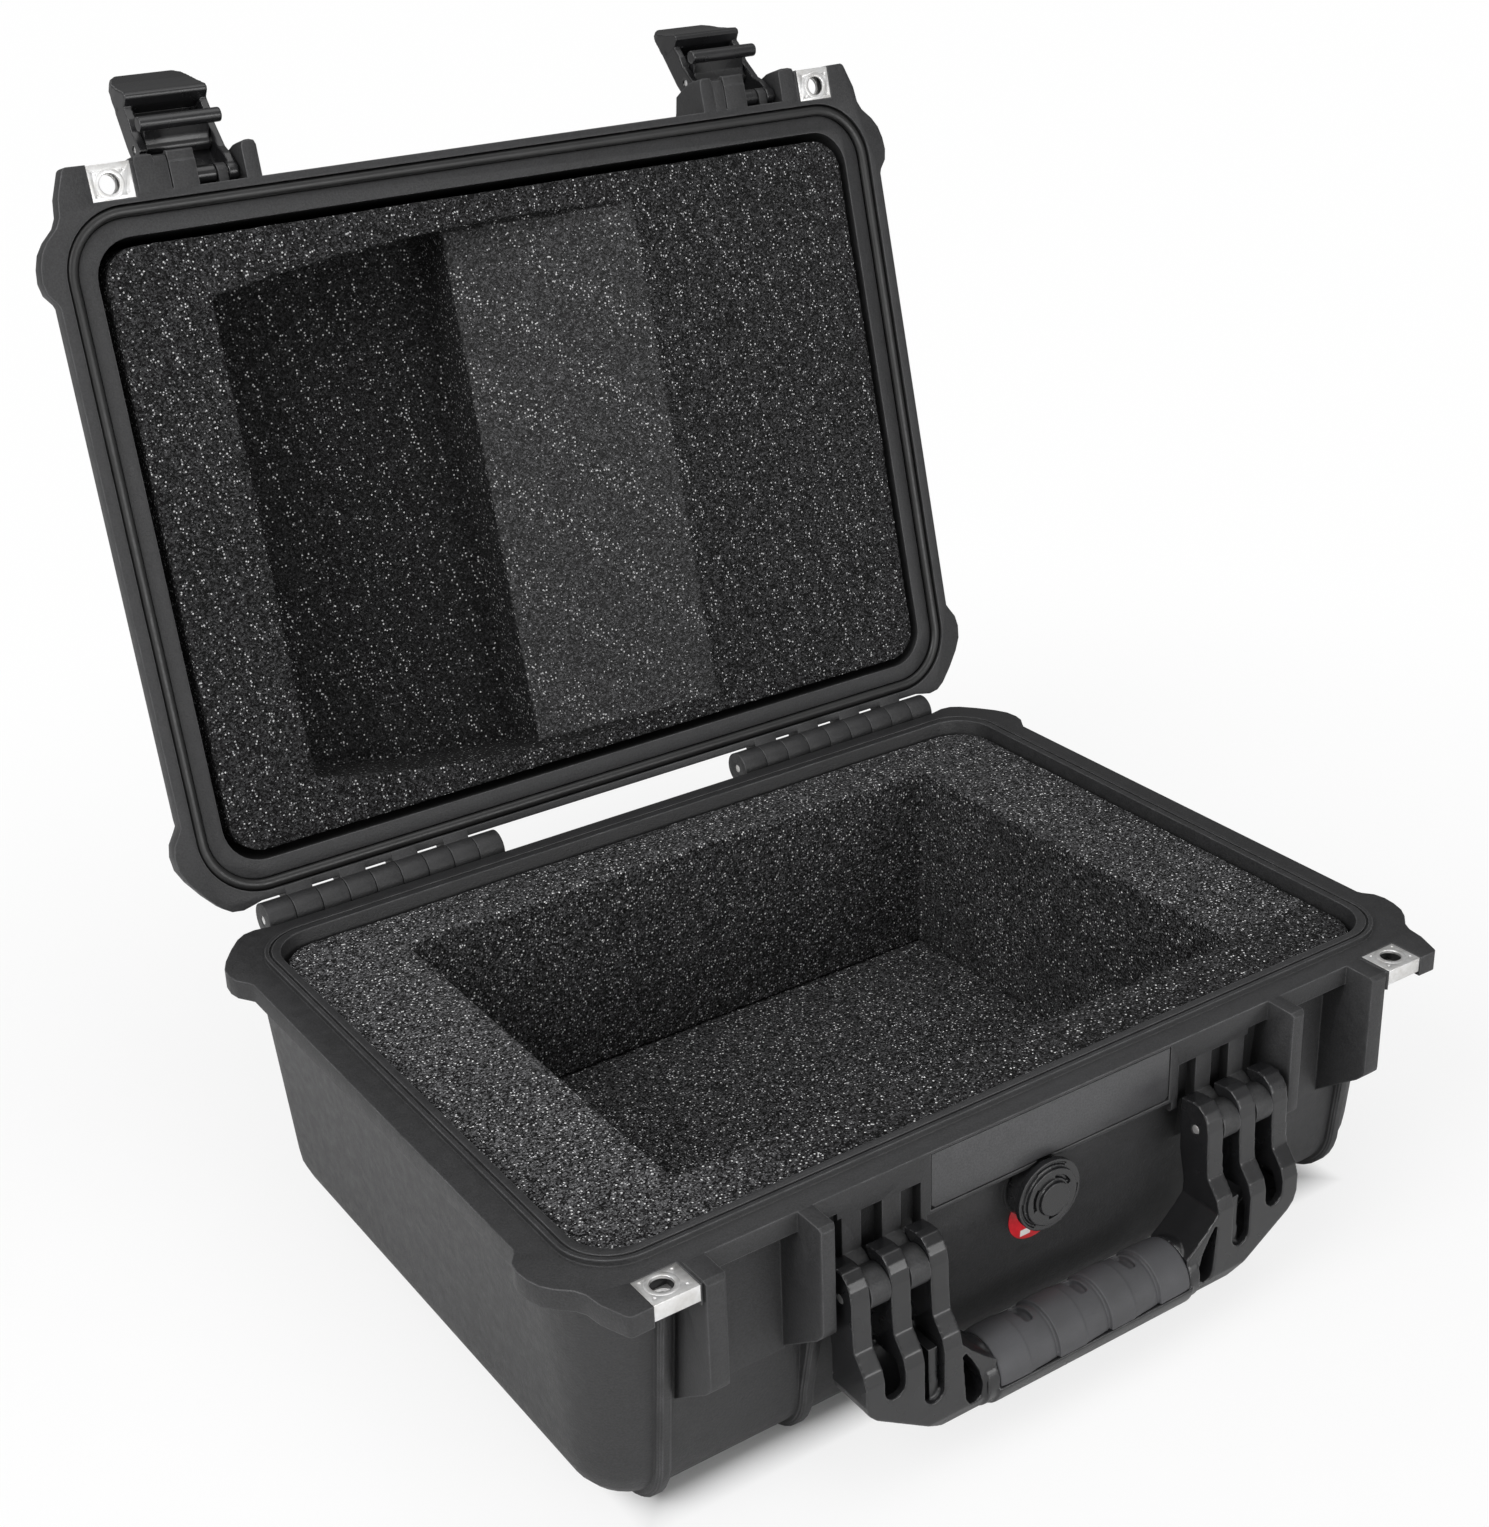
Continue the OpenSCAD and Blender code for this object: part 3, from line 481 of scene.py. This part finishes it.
def foam_piece(node, name, mat, voxel, rough=0.16):
    ob = moulded(node, name, mat, voxel, passes=2, factor=0.5)
    displace(ob.data, lambda p, n: (lattice_noise(p, 620, 5) * rough + lattice_noise(p, 45, 9) * 0.22 - 0.12) * MM)
    return ob


VOX = 1.25
foam_walls = foam_piece("base_foam_walls", "foam_base_ring", MATS["foam"], VOX)
foam_floor = foam_piece("base_foam_floor", "foam_base_floor", MATS["foam_floor"], VOX)
foam_lid = foam_piece("lid_foam", "foam_lid_block", MATS["foam_lid"], VOX)


def shade_attribute(ob, values):
    a = ob.data.attributes.new("shade", "FLOAT", "POINT")
    a.data.foreach_set("value", np.clip(values, 0, 1).astype(np.float32))


def verts_mm(ob, matrix):
    back = matrix.inverted()
    return np.array([list(back @ v.co) for v in ob.data.vertices]) / MM


# painted shade: the bay walls below the top are painted darker, the top is painted darker away from the left strip,
# and the front strip, which lies in its own shade, darker again
wall_co = verts_mm(foam_walls, BASE_MATRIX)
depth = -3.0 - wall_co[:, 2]
on_top = np.clip(1.4 - depth / 2.5, 0, 1)
front_strip = (wall_co[:, 1] < -99) * on_top
away = np.clip((wall_co[:, 0] + 140) / 60, 0, 1)
shade_attribute(foam_walls, (1 - on_top) * 0.44 + on_top * away * 0.24 + front_strip * away * 0.30)
# painted light and shade: the sloping side of the lid recess, a cut face, is painted paler as if lit, and the rest
# of the recess is painted darker as if shaded
to_closed = LID_MATRIX.inverted()
ramp_co = np.array([list(to_closed @ v.co) for v in foam_lid.data.vertices]) / MM
on_ramp = (ramp_co[:, 0] > -27.5) & (ramp_co[:, 0] < 63.6) & (ramp_co[:, 1] > -113) & (ramp_co[:, 1] < 118)
line = 15 + (ramp_co[:, 0] + 27) / 90.2 * (2.61 - 15)
on_ramp &= np.abs(ramp_co[:, 2] - line) < 1.3
in_pocket = (ramp_co[:, 0] > -141) & (ramp_co[:, 0] < 64) & (ramp_co[:, 1] > -116.5) & (ramp_co[:, 1] < 121) & (ramp_co[:, 2] > 3.6)
shade_attribute(foam_lid, (in_pocket & ~on_ramp) * 0.50)
att = foam_lid.data.attributes.new("ramp", "FLOAT", "POINT")
att.data.foreach_set("value", on_ramp.astype(np.float32))


# ---- lid seal: a round cord laid in the groove -------------------------------------
def rounded_path(w, d, r, step):
    pts = []
    for cx, cy, a0 in ((w - r, d - r, 0), (-(w - r), d - r, 90), (-(w - r), -(d - r), 180), (w - r, -(d - r), 270)):
        n = 14
        for i in range(n + 1):
            a = math.radians(a0 + 90 * i / n)
            pts.append((cx + r * math.cos(a), cy + r * math.sin(a)))
    out = []
    for i, p in enumerate(pts):
        q = pts[(i + 1) % len(pts)]
        length = math.hypot(q[0] - p[0], q[1] - p[1])
        k = max(1, int(length / step))
        for j in range(k):
            out.append((p[0] + (q[0] - p[0]) * j / k, p[1] + (q[1] - p[1]) * j / k))
    return out


def sweep_closed(path, z, profile, matrix, name, mat, wob=0.0):
    """sweep a closed profile of (outwards, upwards) points round a closed path, in mm, then place it with matrix"""
    n, k = len(path), len(profile)
    verts, faces = [], []
    for i in range(n):
        a, b = path[i - 1], path[(i + 1) % n]
        tx, ty = b[0] - a[0], b[1] - a[1]
        ln = math.hypot(tx, ty)
        ox, oy = ty / ln, -tx / ln
        lift = wob * math.sin(i * 0.9) * math.sin(i * 0.23)
        for u, v in profile:
            verts.append(matrix @ (Vector((path[i][0] + ox * u, path[i][1] + oy * u, z + v + lift)) * MM))
    for i in range(n):
        for j in range(k):
            a, b = i * k + j, i * k + (j + 1) % k
            c, d = ((i + 1) % n) * k + (j + 1) % k, ((i + 1) % n) * k + j
            faces.append((a, b, c, d))
    me = bpy.data.meshes.new(name)
    me.from_pydata([tuple(v) for v in verts], [], faces)
    bm = bmesh.new()
    bm.from_mesh(me)
    bmesh.ops.recalc_face_normals(bm, faces=bm.faces)
    bm.to_mesh(me)
    bm.free()
    me.polygons.foreach_set("use_smooth", [True] * len(me.polygons))
    return add_object(name, me, mat)


cord = [(2.3 * math.cos(math.radians(a)), 1.75 * math.sin(math.radians(a))) for a in range(0, 360, 24)]
gasket = sweep_closed(rounded_path(195.3, 141.4, 25.3, 6), 0.3 + 0.4 + 1.75, cord, LID_MATRIX, "lid_seal_cord", MATS["seal_rubber"])
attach(gasket, "lid")
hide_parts("lid_gasket")


# ---- steel padlock plates ------------------------------------------------------------
LOCK_X, LOCK_Y, LOCK_R = 172.9, -152.4, 4.2
P_X0, P_X1, P_Y0, P_Y1, P_H = 163.2, 181.0, -160.5, -146.0, 6.4


def ring_profile():
    return [(-1.0, 0.01), (-0.85, 0.09), (-0.3, 0.12), (0.3, 0.12), (0.9, 0.07), (1.15, -0.05), (1.15, -0.4), (-1.0, -0.4)]


def steel_plate(node, name, sx, matrix, z_top, z_low):
    ob = add_object(name, clean_mesh(name, node), MATS["stainless"])
    m = ob.modifiers.new("edge", "BEVEL")
    m.width, m.segments, m.limit_method, m.angle_limit = 0.3 * MM, 3, "ANGLE", math.radians(35)
    apply_modifiers(ob)
    # pressed corner dimples: shallow cups cut into the sheet
    cutter = bmesh.new()
    for dx, dy in ((5.9, -5.0), (5.9, 4.4), (-6.6, -5.0), (-6.6, 4.4)):
        for z, side in ((z_top, 1), (z_low, -1)):
            c = matrix @ (Vector((sx * (LOCK_X + dx), LOCK_Y + dy, z + side * 0.75)) * MM)
            bmesh.ops.create_uvsphere(cutter, u_segments=16, v_segments=10, radius=1.05 * MM,
                                      matrix=Matrix.Translation(c))
    cme = bpy.data.meshes.new("cut")
    cutter.to_mesh(cme)
    cutter.free()
    cob = bpy.data.objects.new("cut", cme)
    SCENE.collection.objects.link(cob)
    b = ob.modifiers.new("dimples", "BOOLEAN")
    b.operation, b.object, b.solver = "DIFFERENCE", cob, "EXACT"
    apply_modifiers(ob)
    bpy.data.objects.remove(cob)
    smooth(ob.data, 38)
    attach(ob, BODY[node])
    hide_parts(node)
    # raised collar pressed up round the hole
    n = 48
    path = [(sx * LOCK_X + 5.15 * math.cos(2 * math.pi * i / n), LOCK_Y + 5.15 * math.sin(2 * math.pi * i / n)) for i in range(n)]
    prof = [(u * 0.92, v if z_top >= z_low else v) for u, v in ring_profile()]
    ring = sweep_closed(path, z_top, prof, matrix, name + "_collar", MATS["stainless"])
    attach(ring, BODY[node])
    return ob


for s, side in ((-1, "left"), (1, "right")):
    steel_plate(f"padlock_plate_base_{side}", f"padlock_plate_base_{side}_sheet", s, BASE_MATRIX, 0.0, -P_H)
    # the lid plate shows its underside when open: its collar sits on that face
    flip = Matrix.Scale(-1, 4, Vector((0, 0, 1)))
    ob = steel_plate(f"padlock_plate_lid_{side}", f"padlock_plate_lid_{side}_sheet", s, LID_MATRIX @ flip, -0.3, -0.3 - P_H)

# ---- pins -------------------------------------------------------------------------------
for node in sorted(NODES):
    if "_pin_" in node:
        pin = crisp(node, node + "_steel", MATS["stainless"], bevel=0.3, segments=2, angle=40)
        if node.startswith("hook_pin"):
            displace(pin.data, lambda p, n: np.full(len(p), -0.10 * MM))

# ---- latches, handle, valve -------------------------------------------------------------
VH = 0.5
# walls along the lower corners of the frame close its hollow from below
CORNER_WALL = [(105.2, -71), (103.7, -76.6), (100.7, -79.8), (73.8, -96.9), (72.2, -94.3), (99.0, -77.4), (101.4, -75), (102.4, -71)]
handle_frame = moulded("handle_frame", "carry_handle_frame", MATS["latch_plastic"], VH, passes=5,
                       prisms=[(CORNER_WALL, -170.2, -153.8, 1), (CORNER_WALL, -170.2, -153.8, -1)])
handle_grip = moulded("handle_grip", "carry_handle_grip", MATS["grip_rubber"], 0.42, passes=3)
for side in ("left", "right"):
    moulded(f"latch_lever_{side}", f"latch_lever_{side}_moulded", MATS["latch_plastic"], 0.42, passes=4)
    moulded(f"latch_hook_{side}", f"latch_hook_{side}_moulded", MATS["latch_plastic"], 0.42, passes=4)
moulded("valve_cap", "valve_cap_moulded", MATS["latch_plastic"], 0.26, passes=3)
crisp("valve_body", "valve_body_ring", MATS["latch_plastic"], bevel=0.3, angle=40)
crisp("valve_nut", "valve_nut_hex", MATS["latch_plastic"], bevel=0.5, angle=40)
crisp("valve_seal", "valve_seal_ring", MATS["seal_rubber"], bevel=0.12, angle=40)
crisp("valve_membrane", "valve_vent_disc", MATS["membrane"], bevel=0.2, angle=40)
crisp("valve_label", "valve_label_film", MATS["label_red"], bevel=0.06, angle=40)


# ---- floor, world, lights, camera -----------------------------------------------------
def floor():
    bm = bmesh.new()
    bmesh.ops.create_grid(bm, x_segments=2, y_segments=2, size=15)
    me = bpy.data.meshes.new("floor")
    bm.to_mesh(me)
    bm.free()
    m = Mat("floor_paper", Roughness=0.9)
    m.bsdf.inputs["Base Color"].default_value = (0.86, 0.86, 0.86, 1)
    m.bsdf.inputs["Specular IOR Level"].default_value = 0.0
    f = m.noise(30, 3)
    m.link(m.mix(m.remap(f, 0.3, 0.7), grey(0.86), grey(0.875)), m.bsdf.inputs["Base Color"])
    # the far floor fades to plain white for the camera
    lp = m.add("ShaderNodeLightPath")
    dist = m.add("ShaderNodeVectorMath", operation="LENGTH")
    m.link(m.co, dist.inputs[0])
    far = m.math("MULTIPLY", m.remap(dist.outputs["Value"], 0.24, 0.80, 0.80, 1.0, smooth_step=True), lp.outputs["Is Camera Ray"])
    # but stays in real shadow underneath the case
    sep = m.add("ShaderNodeSeparateXYZ")
    m.link(m.co, sep.inputs[0])
    ox = m.math("SUBTRACT", m.math("ABSOLUTE", sep.outputs[0], 0.0), 0.160)
    oy = m.math("SUBTRACT", m.math("ABSOLUTE", sep.outputs[1], 0.0), 0.121)
    far = m.math("MULTIPLY", far, m.remap(m.math("MAXIMUM", ox, oy), 0.0, 0.016))
    em = m.add("ShaderNodeEmission", Color=(1, 1, 1, 1), Strength=0.995)
    mx = m.add("ShaderNodeMixShader")
    m.link(far, mx.inputs[0])
    m.link(m.bsdf.outputs[0], mx.inputs[1])
    m.link(em.outputs[0], mx.inputs[2])
    m.link(mx.outputs[0], m.out.inputs["Surface"])
    ob = add_object("floor", me, m.mat)
    ob.location.z = -0.0006
    return ob


floor()

world = bpy.data.worlds.new("studio")
SCENE.world = world
world.use_nodes = True
wt = world.node_tree
wt.nodes.clear()
wo = wt.nodes.new("ShaderNodeOutputWorld")
tc = wt.nodes.new("ShaderNodeTexCoord")
sep = wt.nodes.new("ShaderNodeSeparateXYZ")
wt.links.new(tc.outputs["Generated"], sep.inputs[0])


def wmath(op, a, b, clamp=False):
    n = wt.nodes.new("ShaderNodeMath")
    n.operation = op
    n.use_clamp = clamp
    for i, v in enumerate((a, b)):
        if isinstance(v, bpy.types.NodeSocket):
            wt.links.new(v, n.inputs[i])
        else:
            n.inputs[i].default_value = v
    return n.outputs[0]


# soft tent: brighter above, to the left and in front, dimmer to the right
up = wmath("MULTIPLY", wmath("POWER", wmath("MAXIMUM", sep.outputs[2], 0.0), 2.0), 0.30)
left = wmath("MULTIPLY", wmath("MAXIMUM", wmath("MULTIPLY", sep.outputs[0], -1.0), 0.0), 0.34)
front = wmath("MULTIPLY", wmath("MAXIMUM", wmath("MULTIPLY", sep.outputs[1], -1.0), 0.0), 0.42)
total = wmath("ADD", wmath("ADD", wmath("ADD", up, left), front), 0.13)
bg = wt.nodes.new("ShaderNodeBackground")
wt.links.new(total, bg.inputs["Strength"])
bg.inputs["Color"].default_value = (1, 1, 1, 1)
white = wt.nodes.new("ShaderNodeBackground")
white.inputs["Color"].default_value = (1, 1, 1, 1)
white.inputs["Strength"].default_value = 1.0
lp = wt.nodes.new("ShaderNodeLightPath")
mx = wt.nodes.new("ShaderNodeMixShader")
wt.links.new(lp.outputs["Is Camera Ray"], mx.inputs[0])
wt.links.new(bg.outputs[0], mx.inputs[1])
wt.links.new(white.outputs[0], mx.inputs[2])
wt.links.new(mx.outputs[0], wo.inputs["Surface"])


def area(name, loc, target, size, power):
    d = bpy.data.lights.new(name, "AREA")
    d.shape = "RECTANGLE"
    d.size, d.size_y = size
    d.energy = power
    o = bpy.data.objects.new(name, d)
    SCENE.collection.objects.link(o)
    o.location = loc
    o.rotation_mode = "QUATERNION"
    o.rotation_quaternion = (Vector(target) - Vector(loc)).to_track_quat("-Z", "Y")
    return o


area("key_left", (-1.5, -0.35, 1.35), (0, 0, 0.12), (1.1, 1.1), 21)
area("top_soft", (0.2, -0.2, 1.9), (0, 0, 0.1), (1.6, 1.2), 9)
area("front_low", (0.35, -1.7, 0.42), (0, 0, 0.09), (1.3, 0.6), 11)
area("back_rim", (-0.5, 1.6, 1.5), (0, 0, 0.2), (1.4, 0.7), 3)

cam_data = bpy.data.cameras.new("camera")
cam = bpy.data.objects.new("camera", cam_data)
SCENE.collection.objects.link(cam)
SCENE.camera = cam
W, H = 1489, 1527
F_PX, CX, CY = 2295.88, 769.276, 715.661
cam_data.sensor_fit = "AUTO"
cam_data.sensor_width = 36
cam_data.lens = F_PX / H * 36
cam_data.shift_x = (W / 2 - CX) / H
cam_data.shift_y = (CY - H / 2) / H
cam_data.clip_start, cam_data.clip_end = 0.02, 100
fwd = Vector((0.51207228, 0.75598478, -0.40776095))
rgt = Vector((0.82069653, -0.57070511, -0.0274387))
upv = Vector((0.2534545, 0.3205974, 0.91267635))
rot = Matrix((rgt, upv, -fwd)).transposed()
cam.matrix_world = Matrix.Translation(Vector((-0.47822158, -0.67507884, 0.46984495 + 0.1175))) @ rot.to_4x4()

SCENE.view_settings.view_transform = "Standard"
SCENE.view_settings.look = "None"
